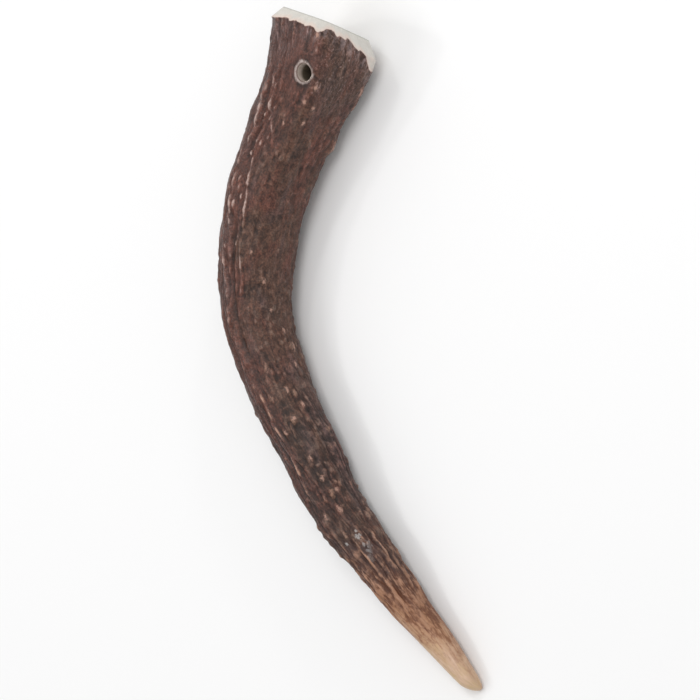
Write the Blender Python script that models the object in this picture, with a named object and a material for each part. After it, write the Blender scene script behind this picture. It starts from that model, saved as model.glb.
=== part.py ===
"""A deer antler tine for a dog to chew: sawn and bevelled at the thick end, drilled for a cord.

The antler lies on its flatter side on the ground, z = 0, with its bend in the horizontal plane.
The thick, sawn end points to +Y, the tip to -Y, and the hollow side of the bend faces +X.
The cord hole goes straight down through it. The origin is under the middle of the whole object.

Sizes below are in millimetres and degrees, and the mesh is made in metres.
"""

import math

import bmesh
import bpy
import numpy as np
from mathutils import Matrix, Vector

MM = 0.001

# Driving dimensions

# The middle line in plan and the section along it, from the tip to the sawn end:
# x, y, half width, half height, squareness (2 is an ellipse, more is boxier), roll in degrees
STATIONS = (
    (49.8, -112.6, 2.6, 2.6, 2.0, 0.0),
    (44.4, -106.8, 3.7, 3.7, 2.0, 0.0),
    (36.1, -97.6, 5.0, 5.0, 2.0, 0.0),
    (22.7, -84.0, 6.6, 6.5, 2.0, 0.0),
    (10.4, -69.6, 8.1, 8.1, 2.1, 0.0),
    (-2.5, -55.3, 9.1, 9.1, 2.1, 0.0),
    (-13.1, -39.4, 9.8, 9.8, 2.2, 0.0),
    (-23.1, -23.1, 10.6, 10.6, 2.2, 0.0),
    (-31.9, -6.2, 10.9, 10.9, 2.3, 0.0),
    (-37.8, 11.5, 11.8, 11.7, 2.4, 1.0),
    (-37.6, 29.8, 12.4, 12.4, 2.6, 2.0),
    (-33.9, 47.9, 12.7, 12.7, 2.8, 3.0),
    (-25.8, 65.0, 13.1, 13.1, 3.2, 4.0),
    (-16.8, 81.7, 13.6, 13.6, 4.0, 5.0),
    (-10.0, 92.5, 14.8, 14.7, 4.4, 6.0),
    (-5.4, 103.8, 16.2, 15.9, 4.0, 6.0),
    (-3.5, 108.7, 17.2, 16.9, 3.8, 6.0),
)
TIP_ROUNDING = 5.0        # length over which the tip rounds over

SAW_YAW = 17.0            # the sawn face turns this far from +Y towards +X
SAW_TILT = 13.7           # and leans this far down
SAW_BLEND = 34.0          # sections turn from square to the middle line to the saw's plane over this
BEVEL_LENGTH = 4.9        # along the antler
BEVEL_WIDTH = 4.8         # across the sawn face
BEVEL_CROWN = 1.15        # above 1 the bevel bulges
BEVEL_CHANGES = (         # where it is longer or shorter: added length, angle, width
    (1.6, -2.0, 24.0),
    (-1.3, 58.0, 20.0),
)
SKIM_RISE = 0.4           # past the bevel the grinder only takes the tops off the ridges
SKIM_LENGTH, SKIM_ANGLE, SKIM_WIDTH = 4.0, -40.0, 32.0    # but it ran on along one side

HOLE_X, HOLE_Y = -2.4, 91.9
HOLE_DIAMETER = 6.0
HOLE_TOP, HOLE_BOTTOM = 29.8, 2.2        # heights of its mouths, on its axis
TOP_SLOPE, BOTTOM_SLOPE = (-0.12, 0.19), (0.19, -0.07)   # how the bark there slopes along X and Y
SCRAPE_WIDTH = 1.35       # the bark is scraped off in a ring around each mouth of the hole
SCRAPE_DEPTH = 0.35
CALM_RADIUS = 7.0         # near the hole the relief is lower
CALM_SHARE = 0.85         # by this share

# Unevenness. The cells of each kind: how many around, length of one in mm, seed
RIDGE_WAVES = ((0.10, 33.0, 0.8), (0.05, 14.0, 2.0))     # radians, mm for each radian, start
RIDGE_TWIST = 0.0012      # radians for each mm
RIDGE_WANDER = 0.075      # how far, in radians, the bark's lines stray
WANDER_CELLS = (9, 34.0, 3)
FURROWS = (               # depth, width as a share of the noise's range, cells
    (1.15, 0.26, (11, 46.0, 43)),
    (0.75, 0.24, (20, 29.0, 11)),
)
FURROW_CHANGE_CELLS = (8, 21.0, 17)
SWELL_HEIGHT, SWELL_CELLS = 0.5, (6, 15.0, 5)
CREST_HEIGHT, CREST_CELLS = 0.3, (15, 18.0, 19)
BEAD_HEIGHT, BEAD_CELLS = 0.42, (18, 5.6, 23)
PEARLS = 120
PEARL_HEIGHT = 0.3, 0.95  # the least and the most
PEARL_WIDTH = 1.6         # half of what a pearl covers around the antler
PEARL_LENGTH = 2.9        # and along it
PEARL_SEED = 41

# The side towards the hollow and up has plain bark, with hardly any furrows
PLAIN_MIDDLE, PLAIN_REACH, PLAIN_SOFTNESS = 22.0, 58.0, 26.0
PLAIN_FROM, PLAIN_FULL = 92.0, 140.0
PLAIN_AT_TIP = 0.35
BUTT_FROM, BUTT_FULL = 75.0, 35.0        # the butt is what lies nearer to the sawn end than this
EDGE_HEIGHT = 0.7         # an edge runs down the butt's upper side
EDGE_WIDTH = 0.16         # radians
EDGE_ANGLE = 47.0
EDGE_TURN, EDGE_TURN_LENGTH = 14.0, 22.0  # it starts further over at the sawn end
EDGE_SPAN = 3.0, 13.0     # it fades in over these distances from the sawn end
SLEEK_ANGLE, SLEEK_WIDTH = 118.0, 0.62   # the back of the bend has long ridges with few beads
SLEEK_FROM, SLEEK_FULL = 60.0, 110.0
RELIEF_FROM, RELIEF_FULL = 16.0, 52.0    # the tip is worn smooth up to here

# Ridges that stand out one by one: height, width, then distance from the tip and angle along it
LONG_RIDGES = (
    (0.80, 1.0, ((217.4, 74.0), (221.4, 86.0), (226.4, 99.0), (235.8, 111.0))),
    (0.65, 1.1, ((212.4, 117.0), (222.4, 118.0), (231.6, 123.0))),
    (0.60, 1.0, ((184.5, 81.0), (193.5, 83.0), (210.4, 102.0))),
    (0.70, 1.2, ((181.5, 107.0), (194.5, 114.0), (208.4, 126.0))),
    (0.55, 0.9, ((157.5, 78.0), (168.5, 78.0), (179.5, 83.0))),
    (0.85, 1.0, ((134.3, 98.0), (143.4, 104.0), (159.5, 105.0), (165.5, 111.0), (179.5, 117.0))),
    (0.65, 0.9, ((107.0, 93.0), (113.0, 97.0), (119.1, 95.0), (126.2, 95.0))),
    (0.80, 0.9, ((85.0, 103.0), (93.0, 99.0), (103.0, 96.0))),
    (0.80, 0.9, ((62.0, 55.0), (71.0, 51.0))),
    (0.75, 0.8, ((31.0, 83.0), (37.0, 74.0), (44.0, 68.0), (52.0, 72.0), (62.0, 75.0))),
    (0.50, 0.8, ((37.0, 112.0), (47.0, 118.0), (58.0, 112.0))),
    (0.50, 0.8, ((47.0, 26.0), (57.0, 24.0), (66.0, 28.0))),
    (-0.80, 1.2, ((79.0, 104.0), (91.0, 114.0), (101.0, 110.0), (113.0, 110.0), (123.1, 103.0))),
    (-0.60, 1.3, ((140.4, 92.0), (155.5, 92.0), (170.5, 97.0), (182.5, 96.0))),
    (-0.70, 1.1, ((205.4, 112.0), (218.4, 106.0), (232.6, 117.0))),
    (-0.55, 1.0, ((36.0, 60.0), (46.0, 57.0), (58.0, 62.0))),
    (-0.55, 1.0, ((30.0, 95.0), (42.0, 90.0), (54.0, 92.0))),
    (-0.60, 1.2, ((134.3, 114.0), (150.5, 120.0), (166.5, 125.0), (182.5, 129.0))),
    (0.90, 1.8, ((154.5, 146.0), (180.5, 148.0), (194.5, 150.0))),
)
RIDGE_END = 4.0           # a ridge fades out over this length

# Pearls that stand out one by one: distance from the tip, angle, height, width, length
CHOSEN_PEARLS = (
    (253.2, 58.0, 0.45, 0.8, 1.5), (239.0, 45.0, 0.60, 0.8, 1.0), (234.7, 51.0, 0.50, 0.8, 1.2),
    (233.7, 38.0, 0.55, 0.8, 1.0), (224.4, 66.0, 0.50, 0.7, 1.2), (227.4, 42.0, 0.45, 0.8, 1.2),
    (175.5, 60.0, 0.60, 0.8, 1.2), (165.5, 38.0, 0.45, 0.9, 1.8), (153.5, 28.0, 0.40, 0.8, 1.5),
    (144.4, 9.0, 0.45, 1.0, 1.8), (122.1, 45.0, 0.65, 1.0, 1.8), (116.0, 27.0, 0.55, 1.0, 1.8),
    (112.0, 54.0, 0.60, 1.2, 1.4), (109.0, 82.0, 0.60, 0.9, 1.6), (97.0, 60.0, 0.80, 1.0, 1.4),
    (89.0, 57.0, 0.85, 1.0, 1.5), (83.0, 42.0, 0.55, 0.9, 1.6), (76.0, 57.0, 0.85, 1.0, 2.6),
    (77.0, 94.0, 0.65, 0.9, 1.8), (138.4, -6.0, 0.45, 1.0, 2.4), (131.3, 4.0, 0.45, 0.9, 1.8),
    (219.4, -32.0, 1.00, 1.6, 3.4), (241.1, -30.0, 0.45, 1.6, 2.6), (235.8, -36.0, 0.30, 1.4, 2.4),
)
COARSE_WIDTH, COARSE_LENGTH = 0.5, 1.4   # the mesh is coarse, so those are this much wider and longer

SIDES = 56
ROW_SPACING = 3.3
TIP_ROWS = (0.3, 1.2, 2.6, 4.4, 6.6, 9.4, 12.6)
END_ROWS = (0.0, 1.7, 3.4, 5.0, 7.2, 9.8)     # distances back from the sawn end
DRILL_SIDES = 28
DRILL_OVERRUN = 2.0       # how far the cutter reaches past each mouth
SPLINE_STEPS = 24         # for each pair of stations
SECTION_STEPS = 180       # to find a section's lowest point
WELD_DISTANCE = 0.01
SHARP_ANGLE = 40.0

BARK_COLOR = (0.105, 0.062, 0.048)
BARK_ROUGHNESS = 0.62


def remove_everything():
    for item in list(bpy.data.objects):
        bpy.data.objects.remove(item, do_unlink=True)


def smoothstep(low, high, value):
    t = np.clip((value - low) / (high - low), 0.0, 1.0)
    return t * t * (3.0 - 2.0 * t)


def spline(points, steps):
    """A Catmull-Rom curve through the rows of points, whatever they hold."""
    points = np.asarray(points, dtype=float)
    before = 2.0 * points[0] - points[1]
    after = 2.0 * points[-1] - points[-2]
    knots = np.vstack([before, points, after])
    t = np.linspace(0.0, 1.0, steps, endpoint=False)[:, None]
    pieces = []
    for a, b, c, d in zip(knots, knots[1:], knots[2:], knots[3:]):
        linear = 0.5 * (c - a)
        square = a - 2.5 * b + 2.0 * c - 0.5 * d
        cube = 0.5 * (d - a) + 1.5 * (b - c)
        pieces.append(b + linear * t + square * t ** 2 + cube * t ** 3)
    return np.vstack(pieces + [points[-1:]])


def lattice_noise(ridge, s, cells):
    """Smooth noise from -1 to 1, with a whole number of cells around and cells of a length in mm."""
    around, length, seed = cells
    rows = 64
    table = np.random.RandomState(seed).uniform(-1.0, 1.0, (rows, around))
    u = np.mod(ridge * around, around)
    v = np.mod(s / length, rows)
    i, j = np.floor(u).astype(int), np.floor(v).astype(int)
    fu, fv = smoothstep(0.0, 1.0, u - i), smoothstep(0.0, 1.0, v - j)

    def at(row, column):
        return table[np.mod(row, rows), np.mod(column, around)]

    near = at(j, i) * (1.0 - fu) + at(j, i + 1) * fu
    far = at(j + 1, i) * (1.0 - fu) + at(j + 1, i + 1) * fu
    return near * (1.0 - fv) + far * fv


class Tine:
    """The smooth form: a middle line in plan with a rounded box section swept along it."""

    def __init__(self):
        self.samples = spline(STATIONS, SPLINE_STEPS)
        steps = np.hypot(*np.diff(self.samples[:, :2], axis=0).T)
        self.s = np.concatenate([[0.0], np.cumsum(steps)])
        self.length = self.s[-1]
        yaw, tilt = math.radians(SAW_YAW), math.radians(SAW_TILT)
        self.saw_normal = np.array([
            math.cos(tilt) * math.sin(yaw),
            math.cos(tilt) * math.cos(yaw),
            -math.sin(tilt),
        ])

    def value(self, s, column):
        return np.interp(s, self.s, self.samples[:, column])

    def radius(self, s, theta):
        """Distance from the middle line to the smooth surface."""
        power = self.value(s, 4)
        rolled = theta - np.radians(self.value(s, 5))
        across = np.abs(np.cos(rolled) / self.value(s, 2)) ** power
        upright = np.abs(np.sin(rolled) / self.value(s, 3)) ** power
        rounding = np.sqrt(1.0 - np.clip(1.0 - s / TIP_ROUNDING, 0.0, 1.0) ** 2)
        return (across + upright) ** (-1.0 / power) * rounding

    def girth(self, s):
        return math.pi * (self.value(s, 2) + self.value(s, 3))

    def axes(self, s):
        """The section's plane at s: a level axis towards the hollow side, and one that points up."""
        ahead, behind = s + 0.5, s - 0.5
        along = np.array([
            self.value(ahead, 0) - self.value(behind, 0),
            self.value(ahead, 1) - self.value(behind, 1),
            0.0,
        ])
        along = along / np.linalg.norm(along)
        turn = smoothstep(self.length - SAW_BLEND, self.length, s)
        normal = (1.0 - turn) * along + turn * self.saw_normal
        normal = normal / np.linalg.norm(normal)
        level = np.cross(normal, (0.0, 0.0, 1.0))
        level = level / np.linalg.norm(level)
        return level, np.cross(level, normal)

    def centre(self, s):
        """The middle line's point at s, at the height that rests the smooth form on the ground."""
        level, up = self.axes(s)
        around = np.linspace(0.0, 2.0 * math.pi, SECTION_STEPS + 1)
        lowest = np.min(self.radius(s, around) * np.sin(around) * up[2])
        return np.array([self.value(s, 0), self.value(s, 1), -lowest])


def bark_angle(ridge, s):
    """The angle around the antler of a place that is counted by ridges, 0 to 1 all the way round."""
    angle = 2.0 * math.pi * ridge + RIDGE_TWIST * s
    for size, stretch, start in RIDGE_WAVES:
        angle = angle - size * np.sin(s / stretch + start)
    return angle + RIDGE_WANDER * lattice_noise(ridge, s, WANDER_CELLS)


def turned(angle, degrees):
    """The angle measured from a direction in degrees, between -pi and pi."""
    return np.mod(angle - np.radians(degrees) + math.pi, 2.0 * math.pi) - math.pi


def grooves(ridge, s, cells, width):
    """Thin wandering grooves along the antler, 0 between them and 1 at their middle."""
    return np.exp(-(lattice_noise(ridge, s, cells) / width) ** 2)


def pearl_relief(tine, ridge, s):
    """Pearls: long drops of bone that sit here and there."""
    dice = np.random.RandomState(PEARL_SEED)
    height = np.zeros_like(ridge)
    for _ in range(PEARLS):
        place_round = dice.uniform(0.0, 1.0)
        place = dice.uniform(RELIEF_FROM, tine.length)
        tall = dice.uniform(*PEARL_HEIGHT)
        around = np.mod(ridge - place_round + 0.5, 1.0) - 0.5
        across = around * tine.girth(place) / PEARL_WIDTH
        height += tall * np.exp(-across ** 2 - ((s - place) / PEARL_LENGTH) ** 2)
    return height


def edge_relief(tine, angle, s):
    """The edge between the butt's upper face and its face on the hollow side."""
    back = tine.length - s
    direction = EDGE_ANGLE + EDGE_TURN * (1.0 - smoothstep(0.0, EDGE_TURN_LENGTH, back))
    edge = np.exp(-(turned(angle, direction) / EDGE_WIDTH) ** 2)
    return EDGE_HEIGHT * edge * smoothstep(*EDGE_SPAN, back)


def plainness(angle, s):
    """How far the bark is of the plain kind, without furrows: 0 to 1."""
    away = np.abs(turned(angle, PLAIN_MIDDLE))
    plain = 1.0 - smoothstep(math.radians(PLAIN_REACH), math.radians(PLAIN_REACH + PLAIN_SOFTNESS), away)
    return plain * (PLAIN_AT_TIP + (1.0 - PLAIN_AT_TIP) * smoothstep(PLAIN_FROM, PLAIN_FULL, s))


def sleekness(angle, s):
    """How far the bark is of the sleek kind, with long ridges and few beads: 0 to 1."""
    sleek = np.exp(-(turned(angle, SLEEK_ANGLE) / SLEEK_WIDTH) ** 2)
    return sleek * smoothstep(SLEEK_FROM, SLEEK_FULL, s)


def chosen_relief(tine, angle, s):
    """The ridges and pearls that stand out one by one."""
    reach = tine.girth(s) / (2.0 * math.pi)
    height = np.zeros_like(s)
    for tall, width, line in LONG_RIDGES:
        places, degrees = zip(*line)
        across = turned(angle, np.interp(s, places, degrees)) * reach / (width + COARSE_WIDTH)
        ends = smoothstep(places[0] - RIDGE_END, places[0] + RIDGE_END, s)
        ends = ends * (1.0 - smoothstep(places[-1] - RIDGE_END, places[-1] + RIDGE_END, s))
        height += tall * ends * np.exp(-across ** 2)
    for place, degrees, tall, width, length in CHOSEN_PEARLS:
        across = turned(angle, degrees) * reach / (width + COARSE_WIDTH)
        height += tall * np.exp(-across ** 2 - ((s - place) / (length + COARSE_LENGTH)) ** 2)
    return height


def main_relief(tine, ridge, s):
    """Height of the bark over the smooth form, in mm: furrows, ridges, beads, pearls and slow swells."""
    angle = bark_angle(ridge, s)
    butt = 1.0 - smoothstep(BUTT_FULL, BUTT_FROM, tine.length - s)
    plain, sleek = plainness(angle, s), sleekness(angle, s)
    change = 0.65 + 0.5 * lattice_noise(ridge, s, FURROW_CHANGE_CELLS)
    height = SWELL_HEIGHT * lattice_noise(ridge, s, SWELL_CELLS)
    for depth, width, cells in FURROWS:
        share = change * (1.0 - 0.85 * plain) * (1.0 - 0.4 * sleek)
        height -= depth * share * grooves(ridge, s, cells, width)
    height += CREST_HEIGHT * (1.0 - 0.5 * plain) * lattice_noise(ridge, s, CREST_CELLS)
    height += BEAD_HEIGHT * (1.0 - 0.6 * plain) * (1.0 - 0.7 * sleek) * lattice_noise(ridge, s, BEAD_CELLS)
    height += pearl_relief(tine, ridge, s) * (1.0 - 0.75 * plain) * (1.0 - 0.6 * sleek)
    return height + edge_relief(tine, angle, s) * butt


def ground_radius(angle, radius, depth):
    """The most that the grinder leaves at a depth below the sawn face."""
    length = BEVEL_LENGTH
    for change, direction, width in BEVEL_CHANGES:
        length = length + change * np.exp(-(turned(angle, direction) / math.radians(width)) ** 2)
    skim = length + SKIM_LENGTH * np.exp(-(turned(angle, SKIM_ANGLE) / math.radians(SKIM_WIDTH)) ** 2)
    into_bevel = np.clip(1.0 - depth / length, 0.0, 1.0)
    past_bevel = np.maximum(depth - skim, 0.0)
    return radius - BEVEL_WIDTH * into_bevel ** BEVEL_CROWN + SKIM_RISE * past_bevel


def row_places(length):
    """Distances from the tip at which the rings of points lie, closer together at both ends."""
    first, last = TIP_ROWS[-1], length - END_ROWS[-1]
    count = round((last - first) / ROW_SPACING)
    middle = np.linspace(first, last, count + 1)[1:-1]
    return np.concatenate([TIP_ROWS, middle, [length - back for back in reversed(END_ROWS)]])


def ring_points(tine, place, ridge):
    """One ring of the finished surface, in mm."""
    s = np.full_like(ridge, place)
    theta = bark_angle(ridge, s)
    level, up = tine.axes(place)
    centre = tine.centre(place)
    smooth = tine.radius(s, theta)
    outward = np.outer(np.cos(theta), level) + np.outer(np.sin(theta), up)
    points = centre + outward * smooth[:, None]
    from_hole = np.hypot(points[:, 0] - HOLE_X, points[:, 1] - HOLE_Y)
    calm = 1.0 - CALM_SHARE * np.exp(-(from_hole / CALM_RADIUS) ** 2)
    depth = (tine.centre(tine.length) - points) @ tine.saw_normal
    relief = (main_relief(tine, ridge, s) + chosen_relief(tine, theta, s)) * calm
    bark = smooth + relief * smoothstep(RELIEF_FROM, RELIEF_FULL, s)
    radius = np.minimum(bark, ground_radius(theta, smooth, depth))
    return centre + outward * radius[:, None]


def make_antler(tine):
    ridge = np.arange(SIDES) / SIDES
    mesh = bmesh.new()
    tip = mesh.verts.new((tine.value(0.0, 0), tine.value(0.0, 1), tine.centre(TIP_ROWS[0])[2]))
    rings = []
    for place in row_places(tine.length):
        points = ring_points(tine, place, ridge)
        rings.append([mesh.verts.new(point) for point in points])
    for side in range(SIDES):
        mesh.faces.new((tip, rings[0][side], rings[0][side - 1]))
    for lower, upper in zip(rings, rings[1:]):
        for side in range(SIDES):
            mesh.faces.new((lower[side - 1], lower[side], upper[side], upper[side - 1]))
    mesh.faces.new(rings[-1])
    bmesh.ops.recalc_face_normals(mesh, faces=mesh.faces)
    bmesh.ops.scale(mesh, vec=(MM, MM, MM), verts=mesh.verts)
    return finish_object(mesh, "antler")


def make_drill():
    """The cord hole's cutter: a rod that widens where the bark is scraped away at each mouth."""
    bore = HOLE_DIAMETER / 2.0
    scraped = bore + SCRAPE_WIDTH
    profile = (
        (0.0, HOLE_BOTTOM - DRILL_OVERRUN),
        (scraped + 0.3, HOLE_BOTTOM - DRILL_OVERRUN),
        (scraped, HOLE_BOTTOM),
        (bore, HOLE_BOTTOM + SCRAPE_DEPTH),
        (bore, HOLE_TOP - SCRAPE_DEPTH),
        (scraped, HOLE_TOP),
        (scraped + 0.3, HOLE_TOP + DRILL_OVERRUN),
        (0.0, HOLE_TOP + DRILL_OVERRUN),
    )
    mesh = bmesh.new()
    points = [mesh.verts.new((radius * MM, 0.0, height * MM)) for radius, height in profile]
    edges = [mesh.edges.new(pair) for pair in zip(points, points[1:])]
    bmesh.ops.spin(
        mesh,
        geom=points + edges,
        cent=(0.0, 0.0, 0.0),
        axis=(0.0, 0.0, 1.0),
        angle=2.0 * math.pi,
        steps=DRILL_SIDES,
        use_merge=True,
    )
    bmesh.ops.remove_doubles(mesh, verts=mesh.verts, dist=WELD_DISTANCE * MM)
    bmesh.ops.recalc_face_normals(mesh, faces=mesh.faces)
    for vertex in mesh.verts:
        slope = TOP_SLOPE if vertex.co.z > 0.5 * HOLE_TOP * MM else BOTTOM_SLOPE
        vertex.co.z += slope[0] * vertex.co.x + slope[1] * vertex.co.y
    drill = finish_object(mesh, "cord_drill")
    drill.location = Vector((HOLE_X, HOLE_Y, 0.0)) * MM
    drill.hide_render = True
    drill.display_type = "WIRE"
    return drill


def finish_object(mesh, name):
    data = bpy.data.meshes.new(name)
    mesh.to_mesh(data)
    mesh.free()
    data.shade_smooth()
    data.set_sharp_from_angle(angle=math.radians(SHARP_ANGLE))
    thing = bpy.data.objects.new(name, data)
    bpy.context.scene.collection.objects.link(thing)
    return thing


def bark_material():
    material = bpy.data.materials.new("antler bark")
    material.use_nodes = True
    surface = material.node_tree.nodes["Principled BSDF"]
    surface.inputs["Base Color"].default_value = (*BARK_COLOR, 1.0)
    surface.inputs["Roughness"].default_value = BARK_ROUGHNESS
    surface.inputs["Metallic"].default_value = 0.0
    return material


def stand_on_ground(thing):
    """Lift the mesh so that its lowest bump touches z = 0."""
    lowest = min(vertex.co.z for vertex in thing.data.vertices)
    thing.data.transform(Matrix.Translation((0.0, 0.0, -lowest)))


def main():
    remove_everything()
    antler = make_antler(Tine())
    stand_on_ground(antler)
    antler.data.materials.append(bark_material())
    cut = antler.modifiers.new("cord hole", "BOOLEAN")
    cut.operation = "DIFFERENCE"
    cut.solver = "EXACT"
    cut.object = make_drill()


main()
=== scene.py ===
"""The looks of a deer antler tine for a dog to chew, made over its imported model.

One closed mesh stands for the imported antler: the same form and ridges, with the fine bark that the
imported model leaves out, the ground bevel, the sawn face with its spongy middle and the drilled hole.
Sizes are in millimetres and degrees, and the mesh is made in metres.
"""

import math

import bmesh
import bpy
import numpy as np
from mathutils import Matrix, Vector
from mathutils.kdtree import KDTree


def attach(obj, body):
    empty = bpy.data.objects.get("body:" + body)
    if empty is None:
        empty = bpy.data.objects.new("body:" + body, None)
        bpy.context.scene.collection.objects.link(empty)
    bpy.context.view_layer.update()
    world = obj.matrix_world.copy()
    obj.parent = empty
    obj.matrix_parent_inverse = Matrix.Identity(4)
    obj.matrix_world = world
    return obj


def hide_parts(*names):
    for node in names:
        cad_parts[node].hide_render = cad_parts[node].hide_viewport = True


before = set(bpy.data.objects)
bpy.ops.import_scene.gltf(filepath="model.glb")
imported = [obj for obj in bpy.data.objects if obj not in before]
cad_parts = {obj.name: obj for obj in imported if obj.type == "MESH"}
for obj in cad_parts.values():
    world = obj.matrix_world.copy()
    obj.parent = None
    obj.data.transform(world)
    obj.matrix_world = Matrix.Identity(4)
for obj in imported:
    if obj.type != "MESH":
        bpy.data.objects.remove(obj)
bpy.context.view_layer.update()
MM = 0.001
FULL_TURN = 2.0 * math.pi

# The form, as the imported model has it: the middle line in plan and the section along it, from the tip
# to the sawn end: x, y, half width, half height, squareness (2 is an ellipse), roll in degrees
STATIONS = (
    (49.8, -112.6, 2.6, 2.6, 2.0, 0.0),
    (44.4, -106.8, 3.7, 3.7, 2.0, 0.0),
    (36.1, -97.6, 5.0, 5.0, 2.0, 0.0),
    (22.7, -84.0, 6.6, 6.5, 2.0, 0.0),
    (10.4, -69.6, 8.1, 8.1, 2.1, 0.0),
    (-2.5, -55.3, 9.1, 9.1, 2.1, 0.0),
    (-13.1, -39.4, 9.8, 9.8, 2.2, 0.0),
    (-23.1, -23.1, 10.6, 10.6, 2.2, 0.0),
    (-31.9, -6.2, 10.9, 10.9, 2.3, 0.0),
    (-37.8, 11.5, 11.8, 11.7, 2.4, 1.0),
    (-37.6, 29.8, 12.4, 12.4, 2.6, 2.0),
    (-33.9, 47.9, 12.7, 12.7, 2.8, 3.0),
    (-25.8, 65.0, 13.1, 13.1, 3.2, 4.0),
    (-16.8, 81.7, 13.6, 13.6, 4.0, 5.0),
    (-10.0, 92.5, 14.8, 14.7, 4.4, 6.0),
    (-5.4, 103.8, 16.2, 15.9, 4.0, 6.0),
    (-3.5, 108.7, 17.2, 16.9, 3.8, 6.0),
)
TIP_ROUNDING = 5.0
GROUND_LIFT = 0.538  # what lifts the lowest bump to the ground

SAW_YAW = 17.0
SAW_TILT = 13.7
SAW_BLEND = 34.0
BEVEL_LENGTH = 5.5
BEVEL_WIDTH = 4.8
BEVEL_CROWN = 1.15
BEVEL_REACH = (  # angle in degrees, how far down the antler the grinder went there
    (-90, 5.2), (-62, 7.4), (-42, 9.0), (-26, 8.4), (-12, 5.6), (5, 4.6), (25, 3.9), (60, 4.0), (95, 4.1),
    (130, 4.8), (165, 5.2), (200, 4.5), (235, 5.1),
)
BONE_REACH = (  # angle in degrees, how far down the antler the bone is bare there
    (-90, 5.2), (-62, 7.4), (-46, 9.0), (-34, 9.4), (-26, 9.3), (-20, 7.6), (-16, 6.5), (-12, 5.4),
    (-7, 4.7), (-3, 4.7), (1, 5.2), (9, 4.3), (14, 3.3), (18, 2.6), (22, 2.6), (25, 3.4), (28, 3.5),
    (31, 3.1), (34, 2.9), (37, 3.8), (39, 3.4), (41, 2.4), (46, 2.3), (50, 2.6), (53, 3.6), (58, 4.6),
    (61, 4.5), (64, 3.6), (69, 3.4), (75, 4.2), (79, 3.8), (84, 3.6), (90, 3.6), (94, 3.3), (99, 3.9),
    (103, 4.4), (107, 3.5), (111, 3.3), (117, 3.9), (130, 4.8), (165, 5.2), (200, 4.5), (235, 5.1),
)
SHOWN_ANGLE = 40.0  # the middle of the side that the photo shows
LOBE_LENGTH, LOBE_FALL, LOBE_CELLS = 1.5, 1.4, (24, 50.0, 44)
LOBE_SPAN = math.radians(85.0), math.radians(120.0)
BARK_STEP = 0.3  # the bark's thickness where it runs out on the bevel
STEP_SPAN = -0.1, 0.35  # where that step rises, past the end of the bare bone
BARE_LIFT = 1.6  # how much of the bark's relief the grinder takes off with it there
BARE_SPAN = 0.2, -0.7
SKIM_RISE = 0.4

HOLE_X, HOLE_Y = -2.4, 91.9
HOLE_RADIUS = 3.0
HOLE_TOP, HOLE_BOTTOM = 29.8, 2.5
SCRAPE_RADIUS = 4.15
SCRAPE_SHIFT = -0.35
SCRAPE_DEPTH = 0.5
SCRAPE_MARGIN = 0.3  # how far its colour goes past its form
SCRAPE_RANGE = -1.0, 1.5
SCRAPE_RAGGED, SCRAPE_CELLS = 0.35, (66, 1.3, 68)
CALM_RADIUS = 7.0
CALM_SHARE = 0.85

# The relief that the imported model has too, in mm. Cells: how many around, length of one, seed
RIDGE_WAVES = ((0.10, 33.0, 0.8), (0.05, 14.0, 2.0))
RIDGE_TWIST = 0.0012
RIDGE_WANDER = 0.075
WANDER_CELLS = (9, 34.0, 3)
FURROWS = (  # depth, width as a share of the noise's range, cells
    (1.15, 0.26, (11, 46.0, 43)),
    (0.75, 0.24, (20, 29.0, 11)),
)
FURROW_SHARE, FURROW_CHANGE, FURROW_CHANGE_CELLS = 0.65, 0.5, (8, 21.0, 17)
SWELL_HEIGHT, SWELL_CELLS = 0.5, (6, 15.0, 5)
CREST_HEIGHT, CREST_CELLS = 0.3, (15, 18.0, 19)
BEAD_HEIGHT, BEAD_CELLS = 0.42, (18, 5.6, 23)
PEARLS = 120
PEARL_HEIGHT = 0.3, 0.95
PEARL_WIDTH = 1.6
PEARL_LENGTH = 2.9
PEARL_SEED = 41
PLAIN_MIDDLE, PLAIN_EDGE = 22.0, (math.radians(58.0), math.radians(84.0))
PLAIN_SPAN = 92.0, 140.0
PLAIN_AT_TIP = 0.35
WORN_ANGLE, WORN_WIDTH, WORN_SPAN = 150.0, 0.75, (30.0, 62.0)
EDGE_HEIGHT = 0.7
EDGE_WIDTH = 0.16
EDGE_ANGLE = 47.0
EDGE_TURN, EDGE_TURN_LENGTH = 14.0, 22.0
EDGE_SPAN = 3.0, 13.0
BUTT_SPAN = 35.0, 75.0  # distance from the sawn end
SLEEK_ANGLE, SLEEK_WIDTH = 118.0, 0.62
SLEEK_SPAN = 60.0, 110.0
RELIEF_SPAN = 16.0, 52.0
WEAR_LOSS = 0.7
FURROW_LOSS = 0.85, 0.4  # the share of it that plain bark takes away, then that sleek bark does
CREST_LOSS = 0.5, 0.0
BEAD_LOSS = 0.6, 0.7
PEARL_LOSS = 0.75, 0.6
SPLINE_STEPS = 24
SECTION_STEPS = 180
LONG_CELL = 4.5  # noise with longer cells than this needs only the first number of rows
NOISE_ROWS = 64, 512

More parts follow.
